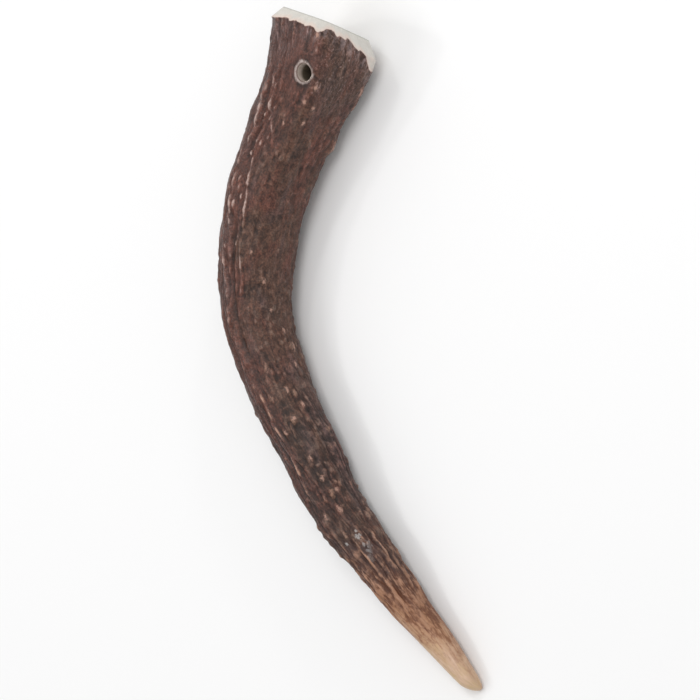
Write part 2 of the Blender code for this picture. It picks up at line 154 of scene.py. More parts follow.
# Ridges that stand out one by one: height, width, then distance from the tip and angle along it
LONG_RIDGES = (
    (0.80, 1.0, ((217.4, 74), (221.4, 86), (226.4, 99), (235.8, 111))),
    (0.65, 1.1, ((212.4, 117), (222.4, 118), (231.6, 123))),
    (0.60, 1.0, ((184.5, 81), (193.5, 83), (210.4, 102))),
    (0.70, 1.2, ((181.5, 107), (194.5, 114), (208.4, 126))),
    (0.55, 0.9, ((157.5, 78), (168.5, 78), (179.5, 83))),
    (0.85, 1.0, ((134.3, 98), (143.4, 104), (159.5, 105), (165.5, 111), (179.5, 117))),
    (0.65, 0.9, ((107.0, 93), (113.0, 97), (119.1, 95), (126.2, 95))),
    (0.80, 0.9, ((85.0, 103), (93.0, 99), (103.0, 96))),
    (0.80, 0.9, ((62.0, 55), (71.0, 51))),
    (0.75, 0.8, ((31.0, 83), (37.0, 74), (44.0, 68), (52.0, 72), (62.0, 75))),
    (0.50, 0.8, ((37.0, 112), (47.0, 118), (58.0, 112))),
    (0.50, 0.8, ((47.0, 26), (57.0, 24), (66.0, 28))),
    (-0.80, 1.2, ((79.0, 104), (91.0, 114), (101.0, 110), (113.0, 110), (123.1, 103))),
    (-0.60, 1.3, ((140.4, 92), (155.5, 92), (170.5, 97), (182.5, 96))),
    (-0.70, 1.1, ((205.4, 112), (218.4, 106), (232.6, 117))),
    (-0.55, 1.0, ((36.0, 60), (46.0, 57), (58.0, 62))),
    (-0.55, 1.0, ((30.0, 95), (42.0, 90), (54.0, 92))),
    (-0.60, 1.2, ((134.3, 114), (150.5, 120), (166.5, 125), (182.5, 129))),
    (0.90, 1.8, ((154.5, 146), (180.5, 148), (194.5, 150))),
    (0.28, 1.0, ((236.8, 51), (246.2, 54), (255.2, 58))),
)
RIDGE_END = 4.0  # a ridge fades out from this far before its end to this far past it
RIDGE_SHARPNESS = 0.68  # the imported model's ridges are wider, for its coarser mesh
RIDGE_UNEVEN, UNEVEN_CELLS = 0.7, (60, 1.9, 61)
RIDGE_PALENESS, PALE_HEIGHT = 0.75, 0.6
PALE_WIDTH = 1.5  # wider ridges are even and keep the bark's colour

# Pearls that stand out one by one: distance from the tip, angle, height, width, length
CHOSEN_PEARLS = (
    (253.2, 58, 0.45, 0.8, 1.5), (241.7, 55, 0.40, 0.7, 1.2), (239.0, 45, 0.60, 0.8, 1.0),
    (234.7, 51, 0.50, 0.8, 1.2), (233.7, 38, 0.55, 0.8, 1.0), (224.4, 66, 0.50, 0.7, 1.2),
    (227.4, 42, 0.45, 0.8, 1.2), (175.5, 60, 0.60, 0.8, 1.2), (165.5, 38, 0.45, 0.9, 1.8),
    (153.5, 28, 0.40, 0.8, 1.5), (144.4, 9, 0.45, 1.0, 1.8), (122.1, 45, 0.65, 1.0, 1.8),
    (116.0, 27, 0.55, 1.0, 1.8), (112.0, 54, 0.60, 1.2, 1.4), (109.0, 82, 0.60, 0.9, 1.6),
    (97.0, 60, 0.80, 1.0, 1.4), (89.0, 57, 0.85, 1.0, 1.5), (83.0, 42, 0.55, 0.9, 1.6),
    (76.0, 57, 0.85, 1.0, 2.6), (77.0, 94, 0.65, 0.9, 1.8), (138.4, -6, 0.45, 1.0, 2.4),
    (131.3, 4, 0.45, 0.9, 1.8), (219.4, -32, 1.00, 1.6, 3.4), (241.1, -30, 0.45, 1.6, 2.6),
    (235.8, -36, 0.30, 1.4, 2.4),
)

# Small pale chips in the bark of the shaft: distance from the tip, angle, size
CHIPS = (
    (64.2, 61.5, 0.85), (66.3, 57.0, 0.5), (64.4, 54.5, 0.5), (60.7, 49.5, 0.7), (60.9, 61.0, 0.6),
    (59.3, 52.5, 0.8), (58.6, 62.5, 0.7), (57.9, 57.0, 0.6), (56.5, 67.0, 0.8), (55.1, 66.0, 0.8),
    (64.9, 95.0, 0.5),
)
CHIP_HEIGHT = 0.25
CHIP_STRETCH = 1.3
BUMP_PLACE = 0.1, 0.9  # where in its cell the middle of a bump may lie

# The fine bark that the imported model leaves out. Cells, radius of a bump, height, chance, stretch
LUMPS = ((16, 7.4, 33), (1.1, 1.9), (0.20, 0.50), 0.5, 2.0)
PEBBLES = ((13, 8.4, 46), (0.70, 1.30), (0.50, 0.95), 0.4, 1.9)
BEADLETS = ((30, 2.9, 34), (0.60, 1.30), (0.12, 0.50), 0.6, 1.3)
BEAD_PATCHES = (9, 11.0, 63)
GRAINS = ((58, 1.45, 35), (0.42, 0.75), (0.06, 0.20), 0.85, 1.1)
PITS = ((26, 4.2, 36), (0.35, 0.85), (0.06, 0.20), 0.18, 1.6)
GLINTS = ((30, 4.6, 39), (0.40, 0.95), (0.20, 0.90), 0.8, 2.4)
RIDGELETS = ((23, 10.0, 47), (0.40, 0.80), (0.30, 0.85), 0.6, 6.5)
VEINS = ((0.42, (24, 9.5, 66)), (0.26, (40, 5.2, 67)))
VEIN_SPAN = 4.0, 14.0, 50.0, 84.0
ROUGH = ((0.24, (30, 3.9, 37)), (0.20, (50, 2.1, 57)), (0.10, (80, 1.3, 58)))
LINE_DEPTH, LINE_WIDTH, LINE_CELLS = 0.30, 0.17, (50, 15.0, 31)
THREAD_DEPTH, THREAD_WIDTH, THREAD_CELLS = 0.15, 0.2, (90, 7.0, 32)
WARP, WARP_AT_TIP, WARP_CELLS = 0.007, 0.012, (20, 4.6, 38)
PLAIN_SINK = 0.75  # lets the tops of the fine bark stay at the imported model's outline
SINK_END = 241.0, 248.0  # but not beside the bevel, where the bark stands above the bone
SLIDE, SLIDE_CELLS = 1.1, (26, 4.6, 62)
GLINT_MIDDLE, GLINT_WIDTH = 100.0, 0.48
GLINT_SPAN = 152.0, 170.0, 226.0, 242.0
PEBBLE_SPAN = 48.0, 72.0, 125.0, 150.0
SHAFT_SPAN = 20.0, 32.0, 66.0, 100.0
RIDGELET_SLEEK, RIDGELET_SHARE, RIDGELET_CHANGE = 0.6, 0.75, 0.5
WARP_SPAN = 50.0, 90.0
PATCH_SPAN = -0.5, 0.3
CREST_TOP = 0.4
ROUGH_FALL, VEIN_FALL = 1.3, 1.6
PEBBLE_LOSS = 0.0, 0.7  # to the plain and to the sleek bark, as above
LUMP_LOSS = 0.55, 0.5
BEADLET_LOSS = 0.0, 0.75
ROUGH_LOSS = 0.0, 0.7
LINE_LOSS = 0.8, 0.0
THREAD_LOSS = 0.7, 0.0
BEADLET_SHAFT_LOSS, ROUGH_SHAFT_LOSS, LUMP_VEIN_LOSS = 0.6, 0.5, 0.6
PEBBLE_FULL, RIDGELET_FULL = 0.9, 0.8  # the height at which a bump has its full colour
BEADLET_FULL, LUMP_FULL, GLINT_FULL = 0.35, 0.8, 0.75

# The sawn face: where its spongy middle ends as a share of the rim, and the pores in that middle
CORE_SPAN = 0.76, 0.50
CORE_WANDER = 0.05
PORE_SPACING, PORE_CELLS = 1.25, 34
PORES = ((PORE_CELLS, PORE_SPACING, 51), (0.32, 0.62), (0.25, 0.75), 0.85, 1.0)

# Facts for the material: how high a place stands over a window of rows and columns around it, and
# the height that counts as 1
CREST_WINDOW = 3, 4, 0.22
BROAD_WINDOW = 12, 10, 0.7
VEIN_WINDOW = 4, 6, 0.55
FACE_CUT, FACE_INSET = 3.0, 1.0  # cut on the sawn face, and how far short of the end along stays
BORE_LIMIT = 30.0

# The mesh
COLUMNS = 212
CROWDING = 0.28  # columns lie closer together where the antler shows most
CROWDED_AT = 0.14  # of the way round
ROW_SPACING = (  # distance from the tip, distance between rings there
    (0.0, 0.24), (5.0, 0.6), (14.0, 0.62), (60.0, 0.62), (80.0, 0.74), (226.0, 0.74), (234.0, 0.40),
    (258.7, 0.36),
)
FIRST_ROW = 0.15
FACE_RINGS = 30
DRILL_SIDES = 84
DRILL_RINGS = 24
DRILL_OVERRUN = 2.5
BORE_SLACK, LIP_SLACK, FACE_SLACK = 0.02, 0.05, 0.02
SHARP_ANGLE = 25.0


def smoothstep(low, high, value):
    """0 up to low and 1 from high on. Low may also be the larger of the two."""
    t = np.clip((value - low) / (high - low), 0.0, 1.0)
    return t * t * (3.0 - 2.0 * t)


def spline(points, steps):
    """A Catmull-Rom curve through the rows of points, whatever they hold."""
    points = np.asarray(points, dtype=float)
    before = 2.0 * points[0] - points[1]
    after = 2.0 * points[-1] - points[-2]
    knots = np.vstack([before, points, after])
    t = np.linspace(0.0, 1.0, steps, endpoint=False)[:, None]
    pieces = []
    for a, b, c, d in zip(knots, knots[1:], knots[2:], knots[3:]):
        linear = 0.5 * (c - a)
        square = a - 2.5 * b + 2.0 * c - 0.5 * d
        cube = 0.5 * (d - a) + 1.5 * (b - c)
        pieces.append(b + linear * t + square * t ** 2 + cube * t ** 3)
    return np.vstack(pieces + [points[-1:]])


def noise(ridge, s, cells):
    """Smooth noise from -1 to 1, with a whole number of cells around and cells of a length in mm."""
    around, length, seed = cells
    rows = NOISE_ROWS[0] if length > LONG_CELL else NOISE_ROWS[1]
    table = np.random.RandomState(seed).uniform(-1.0, 1.0, (rows, around))
    u = np.mod(ridge * around, around)
    v = np.mod(s / length, rows)
    i, j = np.floor(u).astype(int), np.floor(v).astype(int)
    fu, fv = smoothstep(0.0, 1.0, u - i), smoothstep(0.0, 1.0, v - j)

    def at(row, column):
        return table[np.mod(row, rows), np.mod(column, around)]

    near = at(j, i) * (1.0 - fu) + at(j, i + 1) * fu
    far = at(j + 1, i) * (1.0 - fu) + at(j + 1, i + 1) * fu
    return near * (1.0 - fv) + far * fv


class Tine:
    """The smooth form: a middle line in plan with a rounded box section swept along it."""

    def __init__(self):
        self.samples = spline(STATIONS, SPLINE_STEPS)
        steps = np.hypot(*np.diff(self.samples[:, :2], axis=0).T)
        self.s = np.concatenate([[0.0], np.cumsum(steps)])
        self.length = self.s[-1]
        yaw, tilt = math.radians(SAW_YAW), math.radians(SAW_TILT)
        self.saw_normal = np.array([
            math.cos(tilt) * math.sin(yaw),
            math.cos(tilt) * math.cos(yaw),
            -math.sin(tilt),
        ])

    def value(self, s, column):
        return np.interp(s, self.s, self.samples[:, column])

    def radius(self, s, theta):
        """Distance from the middle line to the smooth surface."""
        power = self.value(s, 4)
        rolled = theta - np.radians(self.value(s, 5))
        across = np.abs(np.cos(rolled) / self.value(s, 2)) ** power
        upright = np.abs(np.sin(rolled) / self.value(s, 3)) ** power
        rounding = np.sqrt(1.0 - np.clip(1.0 - s / TIP_ROUNDING, 0.0, 1.0) ** 2)
        return (across + upright) ** (-1.0 / power) * rounding

    def girth(self, s):
        return math.pi * (self.value(s, 2) + self.value(s, 3))

    def reach(self, s):
        """The mean distance from the middle line to the surface."""
        return self.girth(s) / FULL_TURN

    def axes(self, s):
        """The section's plane at s: a level axis towards the hollow side, and one that points up."""
        ahead, behind = s + 0.5, s - 0.5
        along = np.array([
            self.value(ahead, 0) - self.value(behind, 0),
            self.value(ahead, 1) - self.value(behind, 1),
            0.0,
        ])
        along = along / np.linalg.norm(along)
        turn = smoothstep(self.length - SAW_BLEND, self.length, s)
        normal = (1.0 - turn) * along + turn * self.saw_normal
        normal = normal / np.linalg.norm(normal)
        level = np.cross(normal, (0.0, 0.0, 1.0))
        level = level / np.linalg.norm(level)
        return level, np.cross(level, normal)

    def centre(self, s):
        """The middle line's point at s, at the height that rests the smooth form on the ground."""
        level, up = self.axes(s)
        around = np.linspace(0.0, FULL_TURN, SECTION_STEPS + 1)
        lowest = np.min(self.radius(s, around) * np.sin(around) * up[2])
        return np.array([self.value(s, 0), self.value(s, 1), -lowest])


def bark_angle(ridge, s):
    """The angle around the antler of a place that is counted by ridges, 0 to 1 all the way round."""
    angle = FULL_TURN * ridge + RIDGE_TWIST * s
    for size, stretch, start in RIDGE_WAVES:
        angle = angle - size * np.sin(s / stretch + start)
    return angle + RIDGE_WANDER * noise(ridge, s, WANDER_CELLS)


def turned(angle, degrees):
    """The angle measured from a direction in degrees, between -pi and pi."""
    return np.mod(angle - np.radians(degrees) + math.pi, FULL_TURN) - math.pi


def kept(height, losses, plain, sleek):
    """What is left of a height when the plain and the sleek bark have taken their shares of it."""
    return height * (1.0 - losses[0] * plain) * (1.0 - losses[1] * sleek)


def crests(ridge, s, cells, fall):
    """Thin wandering crests along the antler, which fall off to both sides."""
    return CREST_TOP - np.abs(noise(ridge, s, cells)) * fall


def towards(angle, degrees, width):
    """1 in a direction in degrees, and less away from it to both sides."""
    return np.exp(-(turned(angle, degrees) / width) ** 2)


def grooves(ridge, s, cells, width):
    """Thin wandering grooves along the antler, 0 between them and 1 at their middle."""
    return np.exp(-(noise(ridge, s, cells) / width) ** 2)


def pearl_relief(tine, ridge, s):
    """Pearls: long drops of bone that sit here and there."""
    dice = np.random.RandomState(PEARL_SEED)
    height = np.zeros_like(ridge)
    for _ in range(PEARLS):
        place_round = dice.uniform(0.0, 1.0)
        place = dice.uniform(RELIEF_SPAN[0], tine.length)
        tall = dice.uniform(*PEARL_HEIGHT)
        around = np.mod(ridge - place_round + 0.5, 1.0) - 0.5
        across = around * tine.girth(place) / PEARL_WIDTH
        height += tall * np.exp(-across ** 2 - ((s - place) / PEARL_LENGTH) ** 2)
    return height


def edge_relief(tine, angle, s):
    """The edge between the butt's upper face and its face on the hollow side."""
    back = tine.length - s
    direction = EDGE_ANGLE + EDGE_TURN * (1.0 - smoothstep(0.0, EDGE_TURN_LENGTH, back))
    return EDGE_HEIGHT * towards(angle, direction, EDGE_WIDTH) * smoothstep(*EDGE_SPAN, back)


def plainness(angle, s):
    """How far the bark is of the plain kind, without furrows: 0 to 1."""
    plain = 1.0 - smoothstep(*PLAIN_EDGE, np.abs(turned(angle, PLAIN_MIDDLE)))
    return plain * (PLAIN_AT_TIP + (1.0 - PLAIN_AT_TIP) * smoothstep(*PLAIN_SPAN, s))


def tip_wear(angle, s):
    """How far the tip's outer side is rubbed smooth: 0 to 1."""
    return towards(angle, WORN_ANGLE, WORN_WIDTH) * (1.0 - smoothstep(*WORN_SPAN, s))


def sleekness(angle, s):
    """How far the bark is of the sleek kind, with long ridges and few beads: 0 to 1."""
    return towards(angle, SLEEK_ANGLE, SLEEK_WIDTH) * smoothstep(*SLEEK_SPAN, s)


def chosen_relief(tine, angle, s):
    """The ridges and pearls that stand out one by one: their height and how far their tops are pale."""
    reach = tine.reach(s)
    height, tops, pearls = np.zeros_like(s), np.zeros_like(s), np.zeros_like(s)
    uneven = 1.0 - RIDGE_UNEVEN * (0.5 + noise(angle / FULL_TURN, s, UNEVEN_CELLS))
    for tall, width, line in LONG_RIDGES:
        places, degrees = zip(*line)
        across = turned(angle, np.interp(s, places, degrees)) * reach / (width * RIDGE_SHARPNESS)
        first, last = places[0], places[-1]
        ends = within((first - RIDGE_END, first + RIDGE_END, last - RIDGE_END, last + RIDGE_END), s)
        form = ends * np.exp(-across ** 2)
        if tall < 0.0 or width > PALE_WIDTH:
            height += tall * form
            continue
        height += tall * uneven * form
        paleness = RIDGE_PALENESS * min(tall / PALE_HEIGHT, 1.0)
        tops = np.maximum(tops, paleness * uneven * form ** 1.5)
    for place, degrees, tall, width, length in CHOSEN_PEARLS:
        across = turned(angle, degrees) * reach / width
        form = np.exp(-across ** 2 - ((s - place) / length) ** 2)
        height += tall * form
        pearls = np.maximum(pearls, form ** 2)
    return height, tops, pearls


def chip_relief(tine, angle, s):
    """Pale chips in the bark, 0 to 1 at their middle."""
    reach = tine.reach(s)
    found = np.zeros_like(s)
    for place, degrees, size in CHIPS:
        across = turned(angle, degrees) * reach / size
        found = np.maximum(found, np.exp(-across ** 2 - ((s - place) / (CHIP_STRETCH * size)) ** 2))
    return found


def main_relief(tine, ridge, s):
    """Height of the bark over the smooth form, in mm: furrows, ridges, beads, pearls and slow swells."""
    angle = bark_angle(ridge, s)
    butt = 1.0 - smoothstep(*BUTT_SPAN, tine.length - s)
    plain, sleek = plainness(angle, s), sleekness(angle, s)
    change = FURROW_SHARE + FURROW_CHANGE * noise(ridge, s, FURROW_CHANGE_CELLS)
    share = kept(change, FURROW_LOSS, plain, sleek)
    height = SWELL_HEIGHT * noise(ridge, s, SWELL_CELLS)
    for depth, width, cells in FURROWS:
        height -= depth * share * grooves(ridge, s, cells, width)
    height += kept(CREST_HEIGHT, CREST_LOSS, plain, sleek) * noise(ridge, s, CREST_CELLS)
    height += kept(BEAD_HEIGHT, BEAD_LOSS, plain, sleek) * noise(ridge, s, BEAD_CELLS)
    height += kept(pearl_relief(tine, ridge, s), PEARL_LOSS, plain, sleek)
    return height + edge_relief(tine, angle, s) * butt


def profile(table, angle):
    """The length that a table by degrees gives at an angle in radians, all the way round."""
    degrees, lengths = zip(*table)
    return np.interp(np.degrees(angle), degrees, lengths, period=360.0)


def bone_reach(angle, ridge):
    """How far down the antler the bone is bare, in lobes on the side that the photo doesn't show."""
    unseen = smoothstep(*LOBE_SPAN, np.abs(turned(angle, SHOWN_ANGLE)))
    lobes = crests(ridge, np.zeros_like(ridge), LOBE_CELLS, LOBE_FALL)
    return profile(BONE_REACH, angle) + LOBE_LENGTH * lobes * unseen


def ground_radius(radius, depth, angle, reach):
    """The most that the grinder leaves at a depth below the sawn face."""
    bevel = profile(BEVEL_REACH, angle)
    into_bevel = np.clip(1.0 - depth / np.minimum(bevel, BEVEL_LENGTH), 0.0, 1.0)
    past_bevel = np.maximum(depth - np.maximum(bevel, reach), 0.0)
    left = radius - BEVEL_WIDTH * into_bevel ** BEVEL_CROWN + SKIM_RISE * past_bevel
    return left + BARK_STEP * smoothstep(*STEP_SPAN, depth - reach)


def bumps(u, v, wide, long, rows, style):
    """Rounded bumps, at most one in each cell. u and v count cells that are wide by long, in mm."""
    (around, _, seed), size, height, chance, stretch = style
    dice = np.random.RandomState(seed)

    def draw(low, high):
        return dice.uniform(low, high, (rows, around))

    shift_u, shift_v = draw(*BUMP_PLACE), draw(*BUMP_PLACE)
    radius = draw(*size)
    tall = draw(*height) * (draw(0.0, 1.0) < chance)
    i, j = np.floor(u).astype(int), np.floor(v).astype(int)
    found = np.zeros_like(u)
    for dj in (-1, 0, 1):
        for di in (-1, 0, 1):
            row, column = np.mod(j + dj, rows), np.mod(i + di, around)
            across = (u - i - di - shift_u[row, column]) * wide
            ahead = (v - j - dj - shift_v[row, column]) * long / stretch
            distance = (across ** 2 + ahead ** 2) / radius[row, column] ** 2
            found = np.maximum(found, tall[row, column] * np.clip(1.0 - distance, 0.0, 1.0) ** 1.4)
    return found


def bark_bumps(tine, ridge, s, style):
    """Bumps of one style over the whole bark."""
    around, length = style[0][:2]
    rows = math.ceil(tine.length / length) + 2
    return bumps(ridge * around, s / length, tine.girth(s) / around, length, rows, style)


def within(span, s):
    """1 between the middle two distances from the tip, 0 past the outer two."""
    return smoothstep(*span[:2], s) * (1.0 - smoothstep(*span[2:], s))


def fine_relief(tine, ridge, s):
    """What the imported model's bark leaves out: its height, then how far it is of three kinds of top."""
    slide = SLIDE * noise(ridge, s, SLIDE_CELLS)
    warp = WARP + WARP_AT_TIP * (1.0 - smoothstep(*WARP_SPAN, s))
    ridge = ridge + warp * noise(ridge, s, WARP_CELLS)
    s = s + slide
    angle = bark_angle(ridge, s)
    plain, sleek = plainness(angle, s), sleekness(angle, s)
    shaft = within(SHAFT_SPAN, s)
    glint = towards(angle, GLINT_MIDDLE, GLINT_WIDTH) * within(GLINT_SPAN, s)
    glints = bark_bumps(tine, ridge, s, GLINTS) * glint
    pebbles = bark_bumps(tine, ridge, s, PEBBLES) * within(PEBBLE_SPAN, s)
    pebbles = kept(pebbles, PEBBLE_LOSS, plain, sleek)
    ridged = np.maximum(shaft, RIDGELET_SLEEK * sleek * (1.0 - glint))
    ridgelets = bark_bumps(tine, ridge, s, RIDGELETS) * ridged
    change = RIDGELET_CHANGE * noise(ridge, s, UNEVEN_CELLS)
    ridgelets = ridgelets * (RIDGELET_SHARE + change)
    lumps = kept(bark_bumps(tine, ridge, s, LUMPS), LUMP_LOSS, plain, sleek)
    beadlets = kept(bark_bumps(tine, ridge, s, BEADLETS), BEADLET_LOSS, plain, sleek)
    beadlets = beadlets * (1.0 - BEADLET_SHAFT_LOSS * shaft)
    beadlets = beadlets * smoothstep(*PATCH_SPAN, noise(ridge, s, BEAD_PATCHES))
    rough = bark_bumps(tine, ridge, s, GRAINS) - bark_bumps(tine, ridge, s, PITS)
    for tall, cells in ROUGH:
        rough += tall * crests(ridge, s, cells, ROUGH_FALL)
    rough = kept(rough, ROUGH_LOSS, plain, sleek) * (1.0 - ROUGH_SHAFT_LOSS * shaft)
    veins = within(VEIN_SPAN, s)
    height = glints + pebbles + ridgelets + (lumps + beadlets) * (1.0 - LUMP_VEIN_LOSS * veins) + rough
    for tall, cells in VEINS:
        height += tall * veins * crests(ridge, s, cells, VEIN_FALL)
    height -= kept(LINE_DEPTH, LINE_LOSS, plain, sleek) * grooves(ridge, s, LINE_CELLS, LINE_WIDTH)
    height -= kept(THREAD_DEPTH, THREAD_LOSS, plain, sleek) * grooves(ridge, s, THREAD_CELLS, THREAD_WIDTH)
    height -= PLAIN_SINK * plain * (1.0 - smoothstep(*SINK_END, s))
    tops = pebbles / PEBBLE_FULL + ridgelets / RIDGELET_FULL
    return height, tops, beadlets / BEADLET_FULL + lumps / LUMP_FULL, (glints / GLINT_FULL) ** 1.2


def row_places(length):
    """Distances from the tip at which the rings of points lie."""
    knots, spacings = zip(*ROW_SPACING)
    places = [FIRST_ROW]
    while places[-1] < length:
        places.append(places[-1] + np.interp(places[-1], knots, spacings))
    places = np.array(places)
    return FIRST_ROW + (places - FIRST_ROW) * (length - FIRST_ROW) / (places[-1] - FIRST_ROW)


def column_places():
    """Where the columns of points lie, 0 to 1 all the way round."""
    u = np.arange(COLUMNS) / COLUMNS
    return u - CROWDING / FULL_TURN * np.sin(FULL_TURN * (u - CROWDED_AT))


def soften(grid, rows, columns):
    """The grid averaged over a window, which wraps around the antler."""
    down = np.pad(grid, ((rows, rows), (0, 0)), mode="edge").cumsum(axis=0)
    down = np.vstack([np.zeros((1, grid.shape[1])), down])
    grid = (down[2 * rows + 1:] - down[:-2 * rows - 1]) / (2 * rows + 1)
    across = np.pad(grid, ((0, 0), (columns, columns)), mode="wrap").cumsum(axis=1)
    across = np.hstack([np.zeros((grid.shape[0], 1)), across])
    return (across[:, 2 * columns + 1:] - across[:, :-2 * columns - 1]) / (2 * columns + 1)


def standing(pattern, window):
    """How high each place of the pattern stands over a window of places around it."""
    rows, columns, full = window
    return (pattern - soften(pattern, rows, columns)) / full


def off_axis(points, shift=0.0):
    """How far points lie in plan from the cord hole's axis, moved across by a shift."""
    return np.hypot(points[..., 0] - HOLE_X - shift, points[..., 1] - HOLE_Y)


def surface_grid(tine):
    """The antler's whole side as a grid of points, in mm, with what the material needs at each."""
    places = row_places(tine.length)
    s, ridge = np.meshgrid(places, column_places(), indexing="ij")
    theta = bark_angle(ridge, s)
    smooth = tine.radius(s, theta)
    axes = np.array([tine.axes(place) for place in places])[:, :, None, :]
    level, up = axes[:, 0], axes[:, 1]
    centre = np.array([tine.centre(place) for place in places])[:, None, :]
    outward = np.cos(theta)[..., None] * level + np.sin(theta)[..., None] * up
    place = centre + outward * smooth[..., None]
    from_hole = off_axis(place)
    calm = 1.0 - CALM_SHARE * np.exp(-(from_hole / CALM_RADIUS) ** 2)
    ragged = off_axis(place, SCRAPE_SHIFT) + SCRAPE_RAGGED * noise(ridge, s, SCRAPE_CELLS)
    scrape = smoothstep(SCRAPE_RADIUS, HOLE_RADIUS, ragged)
    depth = (tine.centre(tine.length) - place) @ tine.saw_normal
    chosen, chosen_tops, pearls = chosen_relief(tine, theta, s)
    fine, tops, beads, glints = fine_relief(tine, ridge, s)
    chips = chip_relief(tine, theta, s)
    fine = fine + CHIP_HEIGHT * chips
    clear = 1.0 - scrape
    pattern = main_relief(tine, ridge, s) * calm + (chosen + fine) * clear
    reach = bone_reach(theta, ridge)
    wear = tip_wear(theta, s)
    bark = smooth + pattern * smoothstep(*RELIEF_SPAN, s) * (1.0 - WEAR_LOSS * wear)
    bark = bark + BARE_LIFT * smoothstep(*BARE_SPAN, depth - reach)
    ground = ground_radius(smooth, depth, theta, reach)
    radius = np.minimum(bark, ground) - SCRAPE_DEPTH * scrape
    points = centre + outward * radius[..., None]
    facts = {
        "crest": np.tanh(standing(pattern, CREST_WINDOW)),
        "broad": np.tanh(standing(pattern, BROAD_WINDOW)),
        "vein": np.clip(standing(pattern, VEIN_WINDOW), -1.0, 1.0),
        "worn": np.clip(tops, 0.0, 1.0) * clear,
        # pale: the ridges' pale tops and the glints, painted highlight in the upper bark
        "pale": np.maximum(chosen_tops, glints) * clear,
        "pearl": pearls * clear,
        "bead": np.clip(beads, 0.0, 1.0) * clear,
        "chip": chips,
        "scrape": np.clip(SCRAPE_RADIUS + SCRAPE_MARGIN - ragged, *SCRAPE_RANGE),
        "lip": np.clip(from_hole - HOLE_RADIUS, 0.0, 2.0),
        "cut": np.minimum(bark - ground, reach - depth),
        "along": s,
        "sleek": sleekness(theta, s),
        "wear": wear,
        "turn": np.cos(theta - math.radians(WORN_ANGLE)),
        "straight_x": np.cos(theta) * tine.reach(s),
        "straight_y": np.sin(theta) * tine.reach(s),
        "core": np.zeros_like(s),
        "pore": np.zeros_like(s),
    }
    return points, facts


def face_rings(tine, rim):
    """Rings of points that fill the sawn face, with the pores of its spongy middle."""
    middle = rim.mean(axis=0)
    level, up = tine.axes(tine.length)
    shares = 1.0 - np.arange(1, FACE_RINGS + 1) / (FACE_RINGS + 0.6)
    rings = middle + (rim - middle) * shares[:, None, None]
    across, high = (rings - middle) @ level, (rings - middle) @ up
    u, v = across / PORE_SPACING + PORE_CELLS / 2.0, high / PORE_SPACING + PORE_CELLS / 2.0
    wander = CORE_WANDER * np.sin(across * 0.9 + 1.0) + CORE_WANDER * np.sin(high * 1.1)
    core = smoothstep(*CORE_SPAN, shares[:, None] + wander)
    pores = bumps(u, v, PORE_SPACING, PORE_SPACING, PORE_CELLS, PORES) * core
    rings = rings - pores[..., None] * tine.saw_normal
    facts = {
        "core": core,
        "pore": pores,
        "cut": FACE_CUT,
        "along": tine.length - FACE_INSET,
        "straight_x": across,
        "straight_y": high,
    }
    return rings, middle, facts


def build_sheet(tine):
    """The closed mesh before the hole is drilled, as points, faces and what the material needs."""
    points, facts = surface_grid(tine)
    rows, columns = points.shape[:2]
    rings, middle, on_face = face_rings(tine, points[-1])
    tip = np.array([tine.value(0.0, 0), tine.value(0.0, 1), tine.centre(FIRST_ROW)[2]])
    sheet = np.vstack([points, rings])
    index = np.arange(len(sheet) * columns).reshape(len(sheet), columns)
    last = np.roll(index, 1, axis=1)
    quads = np.stack([last[:-1], index[:-1], index[1:], last[1:]], axis=-1).reshape(-1, 4)
    faces = [tuple(quad) for quad in quads.tolist()]
    tip_index, middle_index = index.size, index.size + 1
    for side in range(columns):
        faces.append((tip_index, index[0, side], last[0, side]))
        faces.append((middle_index, last[-1, side], index[-1, side]))
    all_points = np.vstack([sheet.reshape(-1, 3), tip, middle])
    table = {}
    for name, grid in facts.items():
        face = np.ones(rings.shape[:2]) * on_face.get(name, 0.0)
        ends = [grid[0, 0], face[-1, 0]]
        table[name] = np.concatenate([grid.reshape(-1), face.reshape(-1), ends])
    all_points[:, 2] = np.maximum(all_points[:, 2] + GROUND_LIFT, 0.0)
    return all_points, faces, table


def make_drill():
    """The cord hole's cutter: a rod with rings along it, for the material's sake."""
    low, high = HOLE_BOTTOM - DRILL_OVERRUN, HOLE_TOP + DRILL_OVERRUN
    heights = np.linspace(low, high, DRILL_RINGS).tolist()
    outline = [(0.0, low)] + [(HOLE_RADIUS, height) for height in heights] + [(0.0, high)]
    mesh = bmesh.new()
    points = [mesh.verts.new((radius * MM, 0.0, height * MM)) for radius, height in outline]
    edges = [mesh.edges.new(pair) for pair in zip(points, points[1:])]
    bmesh.ops.spin(
        mesh,
        geom=points + edges,
        cent=(0.0, 0.0, 0.0),
        axis=(0.0, 0.0, 1.0),
        angle=FULL_TURN,
        steps=DRILL_SIDES,
        use_merge=True,
    )
    bmesh.ops.remove_doubles(mesh, verts=mesh.verts, dist=0.01 * MM)
    bmesh.ops.recalc_face_normals(mesh, faces=mesh.faces)
    drill = object_from(mesh, "cord_drill")
    drill.location = Vector((HOLE_X, HOLE_Y, 0.0)) * MM
    return drill


def placed(name, data):
    """A new object with this data, in the scene."""
    thing = bpy.data.objects.new(name, data)
    bpy.context.scene.collection.objects.link(thing)
    return thing


def object_from(mesh, name):
    """A new object in the scene with this mesh, which is used up."""
    data = bpy.data.meshes.new(name)
    mesh.to_mesh(data)
    mesh.free()
    return placed(name, data)


